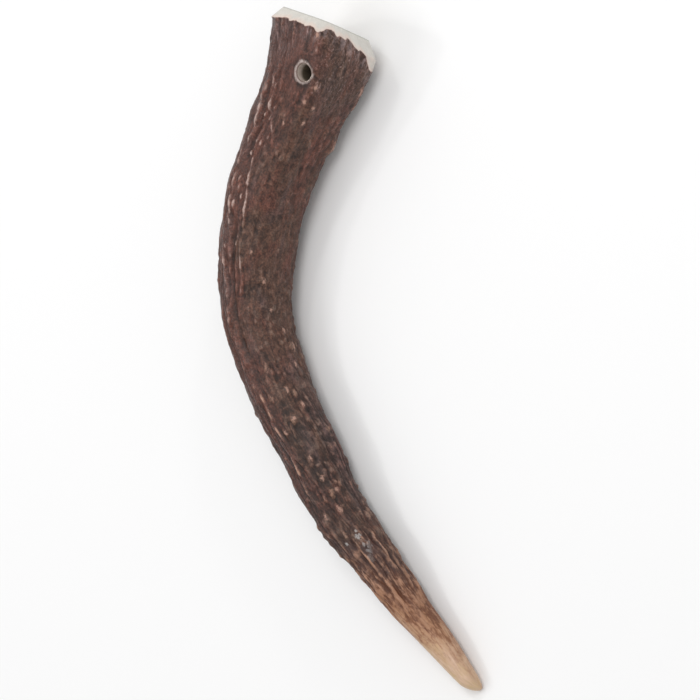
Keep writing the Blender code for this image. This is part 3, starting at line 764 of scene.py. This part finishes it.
def make_antler(tine):
    """The antler's closed mesh with the cord hole drilled, and what the material needs on its points."""
    points, faces, table = build_sheet(tine)
    data = bpy.data.meshes.new("antler_tine")
    data.from_pydata((points * MM).tolist(), [], faces)
    mesh = bmesh.new()
    mesh.from_mesh(data)
    bmesh.ops.recalc_face_normals(mesh, faces=mesh.faces)
    mesh.to_mesh(data)
    mesh.free()
    antler = placed("antler_tine", data)
    drill = make_drill()
    cut = antler.modifiers.new("cord hole", "BOOLEAN")
    cut.operation = "DIFFERENCE"
    cut.solver = "EXACT"
    cut.object = drill
    bpy.context.view_layer.update()
    depsgraph = bpy.context.evaluated_depsgraph_get()
    drilled = bpy.data.meshes.new_from_object(antler.evaluated_get(depsgraph))
    antler.modifiers.clear()
    antler.data = drilled
    bpy.data.objects.remove(drill)
    carry_facts(antler, points * MM, table)
    return antler


def carry_facts(antler, points, table):
    """Gives each point of the drilled mesh what the material needs, from the nearest undrilled point."""
    tree = KDTree(len(points))
    for number, point in enumerate(points):
        tree.insert(point, number)
    tree.balance()
    vertices = antler.data.vertices
    nearest = np.array([tree.find(vertex.co)[1] for vertex in vertices])
    place = np.empty(len(vertices) * 3)
    vertices.foreach_get("co", place)
    place = place.reshape(-1, 3) / MM
    drilled = off_axis(place) < HOLE_RADIUS + BORE_SLACK
    inside = np.minimum(place[:, 2] - HOLE_BOTTOM, HOLE_TOP - place[:, 2])
    facts = {name: values[nearest] for name, values in table.items()}
    facts["scrape"] = np.where(drilled, SCRAPE_RANGE[1], facts["scrape"])
    facts["lip"] = np.where(drilled, 0.0, facts["lip"])
    facts["bore"] = np.where(drilled, np.clip(inside, 0.0, BORE_LIMIT), 0.0)
    straight = np.stack([facts.pop("straight_x"), facts.pop("straight_y"), facts["along"]], axis=-1)
    for name, values in facts.items():
        attribute = antler.data.attributes.new(name, "FLOAT", "POINT")
        attribute.data.foreach_set("value", values.astype(np.float32))
    attribute = antler.data.attributes.new("straight", "FLOAT_VECTOR", "POINT")
    attribute.data.foreach_set("vector", straight.astype(np.float32).reshape(-1))


def shade(antler, tine):
    """Smooth shading, but for the sawn face's rim and the edges of the cord hole."""
    antler.data.shade_smooth()
    mesh = bmesh.new()
    mesh.from_mesh(antler.data)
    corner = Vector(tine.centre(tine.length) + np.array([0.0, 0.0, GROUND_LIFT])) * MM
    normal = Vector(tine.saw_normal)
    for edge in mesh.edges:
        if len(edge.link_faces) != 2 or edge.calc_face_angle() < math.radians(SHARP_ANGLE):
            continue
        middle = (edge.verts[0].co + edge.verts[1].co) / 2.0
        on_face = abs((middle - corner).dot(normal)) < FACE_SLACK * MM
        at_hole = off_axis(np.array(middle) / MM) < HOLE_RADIUS + LIP_SLACK
        edge.smooth = not (on_face or at_hole)
    mesh.to_mesh(antler.data)
    mesh.free()


class Shader:
    """Shorthand for building one material's nodes."""

    def __init__(self, name):
        self.material = bpy.data.materials.new(name)
        self.material.use_nodes = True
        self.tree = self.material.node_tree
        self.surface = self.tree.nodes["Principled BSDF"]

    def node(self, kind, output, inputs, **settings):
        """The output of a new node. Inputs are values, colours or the outputs of other nodes."""
        made = self.tree.nodes.new("ShaderNode" + kind)
        for key, value in settings.items():
            setattr(made, key, value)
        for key, value in inputs.items():
            self.feed(made.inputs[key], value)
        return made.outputs[output]

    def feed(self, socket, value):
        if isinstance(value, bpy.types.NodeSocket):
            self.tree.links.new(value, socket)
        elif socket.type == "RGBA":
            socket.default_value = (*value, 1.0)
        else:
            socket.default_value = value

    def put(self, name, value):
        self.feed(self.surface.inputs[name], value)

    def attribute(self, name, output="Fac"):
        return self.node("Attribute", output, {}, attribute_name=name)

    def math(self, operation, result, *others):
        """Two or more values joined by one operation, from left to right."""
        for other in others:
            result = self.node("Math", 0, {0: result, 1: other}, operation=operation)
        return result

    def times(self, *values):
        return self.math("MULTIPLY", *values)

    def plus(self, *values):
        return self.math("ADD", *values)

    def minus(self, *values):
        return self.math("SUBTRACT", *values)

    def scaled(self, vector, scale):
        return self.node("VectorMath", 0, {0: vector, 1: scale}, operation="MULTIPLY")

    def noise(self, vector, scale, detail=3.0, roughness=0.55):
        inputs = {"Vector": vector, "Scale": scale, "Detail": detail, "Roughness": roughness}
        return self.node("TexNoise", "Fac", inputs)

    def cells(self, vector, scale):
        return self.node("TexVoronoi", "Distance", {"Vector": vector, "Scale": scale})

    def span(self, value, low, high, to_low=0.0, to_high=1.0):
        inputs = {"Value": value, "From Min": low, "From Max": high, "To Min": to_low, "To Max": to_high}
        return self.node("MapRange", "Result", inputs, interpolation_type="SMOOTHSTEP")

    def vary(self, noise, low, high):
        """A noise spread out from low to high over the range that most of its values lie in."""
        return self.span(noise, 0.3, 0.7, low, high)

    def brighten(self, color, value):
        return self.node("HueSaturation", "Color", {"Value": value, "Color": color})

    def blend(self, share, a, b):
        """A colour between two, by the mix node's numbers of its colour sockets."""
        return self.node("Mix", 2, {0: share, 6: a, 7: b}, data_type="RGBA")

    def between(self, share, a, b):
        return self.node("Mix", "Result", {"Factor": share, "A": a, "B": b})

    def bump(self, height, distance, strength):
        inputs = {"Height": height, "Distance": distance, "Strength": strength}
        return self.node("Bump", "Normal", inputs)


# The colours of the material
# furrow colours: the bark's stain with painted shade in it
FURROW = (0.020, 0.008, 0.005)
DARK_BROWN = (0.046, 0.017, 0.011)
OLIVE = (0.077, 0.035, 0.022)
RUDDY = (0.093, 0.031, 0.020)
LILAC = (0.088, 0.050, 0.047)
# bead top colours: paler bark with painted highlight on it
BEAD = (0.168, 0.108, 0.081)
RUDDY_BEAD = (0.195, 0.090, 0.068)
# pale grey for the network, the streaks by the bevel and the painted sheen
GREY_AND_SHEEN = (0.20, 0.145, 0.14)
WORN = (0.35, 0.22, 0.16)
WORN_ORANGE = (0.33, 0.185, 0.125)
RIDGE_TAN = (0.365, 0.193, 0.120)
TAN = (0.325, 0.154, 0.079)
CREAM = (0.45, 0.26, 0.152)
TIP = (0.60, 0.425, 0.29)
TIP_YELLOW = (0.57, 0.405, 0.235)
TIP_PINK = (0.63, 0.435, 0.325)
GAP_DARK = (0.050, 0.023, 0.019)
GAP_BROWN = (0.126, 0.043, 0.018)
GAP_TAN = (0.26, 0.110, 0.052)
BONE_EDGE = (0.30, 0.17, 0.14)
BONE_PINK = (0.66, 0.555, 0.49)
BONE = (0.60, 0.575, 0.53)
# painted shade along the sawn face's rim
RIM_SHADE = (0.42, 0.42, 0.38)
SCRAPE = (0.48, 0.395, 0.365)
SCRAPE_DARK = (0.15, 0.10, 0.08)
CHIP = (0.39, 0.37, 0.36)
# painted highlight on the glints and the upper ridges' tops
PINK_HIGHLIGHT = (0.48, 0.34, 0.295)
PEARL = (0.43, 0.245, 0.185)
ORANGE = (0.42, 0.235, 0.165)
CORE = (0.36, 0.29, 0.21)
PORE = (0.07, 0.045, 0.03)
BORE_LIP = (0.64, 0.54, 0.47)
# painted shade inside the bore, darker deeper in
BORE_SHADE = (0.19, 0.155, 0.11)
BORE_DEEP_SHADE = (0.105, 0.085, 0.06)
GRAIN_DEPTH = 0.3


def antler_material(length):
    """Bark, the pale tip, bare bone and the bore's wall in one material.

    along is in mm from the tip. turn is 1 on the outer side and -1 on the hollow side. A span's four
    numbers are two values and what they become.
    """
    shader = Shader("antler_surface")
    fact, span, vary, blend = shader.attribute, shader.span, shader.vary, shader.blend
    plus, minus, times = shader.plus, shader.minus, shader.times
    straight = fact("straight", "Vector")

    def texture(squeeze, *settings):
        """Noise over the unrolled bark. A squeeze below 1 draws it out along the antler."""
        return shader.noise(shader.scaled(straight, (1.0, 1.0, squeeze)), *settings)

    crest, broad, cut, along, turn = fact("crest"), fact("broad"), fact("cut"), fact("along"), fact("turn")
    worn, bead, pale, sleek = fact("worn"), fact("bead"), fact("pale"), fact("sleek")
    streak = texture(0.16, 0.9, 5.0)
    mottle = texture(0.45, 0.13, 5.0, 0.6)
    grain = texture(0.8, 1.6, 4.0, 0.7)
    speck = texture(0.8, 0.7, 4.0, 0.65)
    fiber = texture(0.10, 2.1, 3.0)
    patch = texture(0.6, 0.4, 3.0, 0.6)
    dome = shader.cells(shader.scaled(straight, (1.0, 1.0, 0.62)), 1.25)
    dome = span(dome, 0.0, 0.75, 1.0, 0.0)
    butt = span(along, 236.0, 250.0)

    # The bark's colour: olive to ruddy, lilac in places, greyer in streaks short of the bevel, with
    # painted sheen: lilac on the hollow side of the shaft and grey streaks on the sleek side towards the
    # butt
    ruddy = plus(
        sleek,
        span(mottle, 0.34, 0.68, -0.25, 0.75),
        vary(speck, -0.13, 0.13),
        span(along, 185.0, 228.0, 0.0, 0.4),
    )
    olive = times(span(along, 230.0, 243.0), span(turn, 0.1, -0.3))
    ruddy = minus(ruddy, times(olive, 0.55))
    body = blend(span(ruddy, 0.0, 1.0), OLIVE, RUDDY)
    lilac = texture(0.3, 0.22, 3.0)
    shaft = times(span(along, 62.0, 76.0), span(along, 135.0, 110.0))
    # painted sheen: a lilac band on the hollow side of the shaft
    hollow_side_sheen = times(shaft, span(turn, -0.45, -0.85, 0.0, 0.55))
    lilac = plus(span(lilac, 0.52, 0.75, 0.0, 0.55), hollow_side_sheen)
    body = blend(lilac, body, LILAC)
    # painted sheen: grey streaks on the sleek side towards the butt
    sheen_streaks = times(sleek, butt, span(fiber, 0.45, 0.65, 0.05, 0.65))
    # greyer streaks on the bark just short of the bevel, fewer on the outer side
    grey_streaks_by_bevel = times(span(cut, -7.0, -0.5), span(streak, 0.45, 0.6, 0.0, 0.8), span(turn, 0.1, 0.7, 1.0, 0.45))
    network = times(olive, span(grain, 0.50, 0.64, 0.0, 0.6), span(speck, 0.42, 0.6, 0.1, 1.0))
    body = blend(shader.math("MAXIMUM", sheen_streaks, grey_streaks_by_bevel, network), body, GREY_AND_SHEEN)

    # Darker in the furrows and lighter on the beads, partly stain and wear and partly painted shade and
    # highlight, then its brightness from place to place, with painted shade and light by side
    tone = plus(times(crest, 0.7), times(broad, 0.4))
    # the furrows' colour: the bark's stain there and painted shade
    furrow_stain_and_shade = blend(span(along, 60.0, 125.0), DARK_BROWN, FURROW)
    depth = times(tone, span(sleek, 0.2, 0.9, 1.0, 0.5), span(turn, -0.6, 0.3, 0.8, 1.0))
    bark = blend(span(depth, -1.0, 0.1), furrow_stain_and_shade, body)
    # the beads' tops: their own paler colour and painted highlight
    bead_tops_and_highlights = blend(span(ruddy, 0.1, 0.9), BEAD, RUDDY_BEAD)
    tops = span(plus(times(bead, 0.45), crest), 0.0, 1.3, 0.0, 0.7)
    bark = blend(times(tops, vary(speck, 0.5, 1.0)), bark, bead_tops_and_highlights)
    # painted shade: the outer side darker still through the bend
    outer_bend_shade = times(span(along, 92.0, 112.0), span(along, 178.0, 162.0), span(turn, 0.2, 0.9, 0.0, 0.13))
    last = times(span(along, 243.0, 252.0), span(turn, 0.7, 0.1, -0.07, 0.13))
    # the shaft's low places darker, partly stain and partly painted shade
    gutter_stain_and_shade = times(shaft, span(tone, -0.3, 0.35, 0.35, 0.0))
    value = times(
        vary(grain, 0.5, 1.55),
        vary(streak, 0.86, 1.16),
        vary(fiber, 0.94, 1.07),
        # painted shade: darker on the outer side
        span(turn, 0.3, 1.0, 1.0, 0.84),
        span(patch, 0.36, 0.64, 0.8, 1.26),
        minus(1.0, outer_bend_shade),
        span(along, 85.0, 125.0, 0.83, 1.0),
        span(along, 62.0, 80.0, 1.12, 1.0),
        span(along, 226.0, 240.0, 1.0, 0.94),
        # painted light: brighter on the hollow side
        span(turn, -0.9, -0.2, 1.08, 1.0),
        plus(1.0, last),
        minus(1.0, gutter_stain_and_shade),
    )
    bark = shader.brighten(bark, value)

    # Rubbed tops, the pale ridges and the glints, the pearls and the chips; the pale pink on the glints
    # and the upper ridges' tops is painted highlight
    broken = vary(grain, -0.35, 0.35)
    share = span(plus(worn, broken), 0.15, 0.95, 0.0, 0.8)
    share = times(share, span(speck, 0.3, 0.62, 0.3, 1.0), span(worn, 0.0, 0.2))
    top = blend(span(along, 58.0, 76.0), WORN, WORN_ORANGE)
    bark = blend(share, bark, top)
    # Painted highlight: the glints and the pale ridges' tops take a pale colour, pink in the upper bark;
    # lower down it is orange, the rubbed crests' own colour
    share = times(
        pale,
        span(speck, 0.3, 0.65, 0.35, 0.95),
        span(along, 165.0, 185.0, 0.62, 1.0),
        span(along, 125.0, 140.0, 1.95, 1.0),
    )
    share = times(span(share, 0.12, 0.65, 0.0, 0.95), span(crest, -0.3, 0.6))
    top = blend(span(along, 120.0, 170.0), ORANGE, PINK_HIGHLIGHT)
    bark = blend(share, bark, top)
    pearl = fact("pearl")
    share = span(plus(pearl, broken), 0.25, 0.95, 0.0, 0.9)
    bark = blend(times(share, span(pearl, 0.0, 0.2)), bark, PEARL)
    chip = plus(fact("chip"), broken)
    chip = times(span(chip, 0.3, 0.7), span(chip, 1.2, 0.9, 0.5, 0.9))
    bark = blend(chip, bark, CHIP)

    # The tip, light between a darker network of veins, with an uneven line where the bark begins and
    # painted shade on its hollow side
    shift = plus(along, span(streak, 0.25, 0.75, 5.0, -5.0), vary(mottle, 4.0, -4.0))
    shift = minus(shift, span(turn, -1.0, 1.0, -4.0, 4.0), times(fact("wear"), 9.0))
    light = blend(span(shift, 30.0, 46.0), TAN, RIDGE_TAN)
    light = blend(span(shift, 15.0, 36.0), CREAM, light)
    gap = blend(span(shift, 36.0, 58.0), GAP_BROWN, GAP_DARK)
    gap = blend(span(shift, 16.0, 38.0), GAP_TAN, gap)
    lines = shader.math("ABSOLUTE", minus(texture(0.3, 0.7), 0.5), 0.0)
    lines = times(span(lines, 0.0, 0.09, -0.5, 0.25), span(shift, 24.0, 52.0, 1.0, 0.4))
    level = plus(
        times(fact("vein"), span(shift, 20.0, 46.0, 0.45, 1.0)),
        lines,
        vary(speck, -0.2, 0.2),
        span(patch, 0.34, 0.66, -0.45, 0.45),
        pale,
    )
    level = minus(level, span(shift, 14.0, 54.0, -0.3, 0.42))
    tip = blend(span(level, -0.7, 0.7), gap, light)
    end = blend(span(patch, 0.38, 0.62), TIP, TIP_YELLOW)
    end = blend(span(mottle, 0.42, 0.6, 0.0, 0.8), end, TIP_PINK)
    tip = blend(span(shift, -2.0, 26.0), end, tip)
    # painted shade: the tip is darker on its hollow side
    tip = shader.brighten(tip, times(vary(fiber, 0.92, 1.07), span(turn, -0.9, 0.1, 0.91, 1.0)))
    bark = blend(span(shift, 44.0, 74.0), tip, bark)

    # Bare bone on the bevel and the sawn face with a painted shade line at its rim, the scraped ring at
    # the hole, and the bore's wall with painted shade inside
    edge_of = plus(cut, vary(speck, -0.16, 0.16))
    bone = blend(span(edge_of, 0.3, 2.2), BONE_PINK, BONE)
    bone = blend(span(edge_of, 0.0, 0.35), BONE_EDGE, bone)
    # painted shade: a grey line along the sawn face's rounded rim
    bone = blend(span(along, length - 0.6, length - 0.1, 0.0, 0.8), bone, RIM_SHADE)
    core = plus(fact("core"), vary(speck, -0.25, 0.25))
    bone = blend(span(core, 0.1, 0.9), bone, CORE)
    bone = blend(span(fact("pore"), 0.03, 0.35), bone, PORE)
    bone = shader.brighten(bone, times(vary(grain, 0.95, 1.04), vary(patch, 0.95, 1.04)))
    skimmed = times(span(edge_of, -0.45, 0.0, 0.0, 0.7), span(crest, -0.5, 0.6))
    bark = blend(skimmed, bark, BONE_EDGE)
    color = blend(span(edge_of, -0.04, 0.04), bark, bone)
    scrape = plus(fact("scrape"), vary(speck, -0.3, 0.3))
    ring = blend(span(fact("lip"), 0.1, 0.6), SCRAPE_DARK, SCRAPE)
    ring = blend(span(grain, 0.42, 0.62, 0.0, 0.7), ring, SCRAPE_DARK)
    color = blend(span(scrape, -0.1, 0.9, 0.0, 0.95), color, ring)
    # the bore's wall: pale bone at its mouths, then painted shade that darkens further in
    bore = fact("bore")
    wall = blend(span(bore, 0.5, 6.5), BORE_SHADE, BORE_DEEP_SHADE)
    wall = blend(span(bore, 1.2, 2.9), BORE_LIP, wall)
    color = blend(span(bore, 0.0, 0.15), color, wall)
    shader.put("Base Color", color)

    gloss = minus(span(tone, -0.6, 0.8, 0.50, 0.38), times(worn, 0.1), span(sleek, 0.2, 0.9, 0.0, 0.13))
    gloss = shader.between(span(pale, 0.1, 0.6), gloss, 0.22)
    gloss = shader.between(span(edge_of, -0.03, 0.03), gloss, 0.6)
    shader.put("Roughness", gloss)
    shader.put("Specular IOR Level", 0.38)
    woody = plus(times(butt, sleek, 0.5), 0.1)
    height = plus(grain, times(streak, 0.3), times(dome, 0.3), times(fiber, woody))
    rough = times(span(along, 14.0, 50.0, 0.15, 0.85), span(cut, -0.1, 0.1, 1.0, 0.25))
    shader.put("Normal", shader.bump(height, GRAIN_DEPTH * MM, rough))
    return shader.material


# The camera, at the photo's viewing angle, and the light
VIEW_TILT = 40.0  # the camera leans this far from straight above, towards the hollow side
LENS = 300.0
SENSOR = 36.0
VIEW_WIDTH = 235.9  # what the picture spans at the ground
VIEW_X, VIEW_Y = -7.7, -0.4
CLIP_END = 20.0
WORLD_LIGHT = 0.68
LIGHTS = (  # name, where it stands by the picture's own axes, distance, size, power
    ("key_light", (-0.35, 0.35, 0.87), 1.1, 0.5, 2.9),
    ("side_light", (-0.93, 0.0, 0.36), 1.1, 0.3, 1.2),
    ("edge_light", (-0.96, 0.2, 0.2), 1.1, 0.09, 0.9),
    ("top_light", (-0.6, 0.6, 0.53), 1.1, 0.09, 0.9),
    ("rim_light", (0.1, 0.85, 0.52), 1.1, 0.09, 0.7),
    ("fill_light", (0.85, 0.0, 0.53), 1.2, 0.7, 2.6),
)
FLOOR_SIZE = 4.0
PAPER_COLOR, PAPER_ROUGHNESS = (0.9, 0.9, 0.9), 0.9


def view_axes():
    """Directions in the row frame that point right, up and at the camera in the picture."""
    tilt = math.radians(VIEW_TILT)
    right = Vector((math.cos(tilt), 0.0, -math.sin(tilt)))
    return right, Vector((0.0, 1.0, 0.0)), Vector((math.sin(tilt), 0.0, math.cos(tilt)))


def facing(place, right, up, back):
    """A matrix that puts an object at a place with these directions as its axes."""
    columns = (right, up, back, place)
    return Matrix([[column[row] for column in columns] for row in range(3)] + [(0.0, 0.0, 0.0, 1.0)])


def make_camera():
    data = bpy.data.cameras.new("camera")
    data.lens = LENS
    data.sensor_width = SENSOR
    data.clip_end = CLIP_END
    camera = placed("camera", data)
    right, up, back = view_axes()
    away = VIEW_WIDTH * LENS / SENSOR
    target = Vector((VIEW_X, VIEW_Y, 0.0))
    camera.matrix_world = facing((target + back * away) * MM, right, up, back)
    bpy.context.scene.camera = camera


def make_light(name, direction, distance, size, power):
    """A square soft box that faces the antler."""
    away = sum((axis * share for axis, share in zip(view_axes(), direction)), Vector())
    away.normalize()
    data = bpy.data.lights.new(name, "AREA")
    data.shape = "SQUARE"
    data.size = size
    data.energy = power
    light = placed(name, data)
    turn = away.to_track_quat("Z", "Y").to_matrix().to_4x4()
    light.matrix_world = Matrix.Translation(away * distance) @ turn
    light.visible_camera = False


def make_studio():
    world = bpy.data.worlds.new("studio")
    world.use_nodes = True
    background = world.node_tree.nodes["Background"]
    background.inputs["Color"].default_value = (1.0, 1.0, 1.0, 1.0)
    background.inputs["Strength"].default_value = WORLD_LIGHT
    bpy.context.scene.world = world
    for light in LIGHTS:
        make_light(*light)
    mesh = bmesh.new()
    bmesh.ops.create_grid(mesh, x_segments=1, y_segments=1, size=FLOOR_SIZE)
    floor = object_from(mesh, "floor")
    shader = Shader("floor_paper")
    shader.put("Base Color", PAPER_COLOR)
    shader.put("Roughness", PAPER_ROUGHNESS)
    floor.data.materials.append(shader.material)
    bpy.context.scene.view_settings.view_transform = "Standard"


make_camera()
make_studio()
tine = Tine()
antler = make_antler(tine)
antler.data.materials.clear()
antler.data.materials.append(antler_material(tine.length))
shade(antler, tine)
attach(antler, "root")
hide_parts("antler")
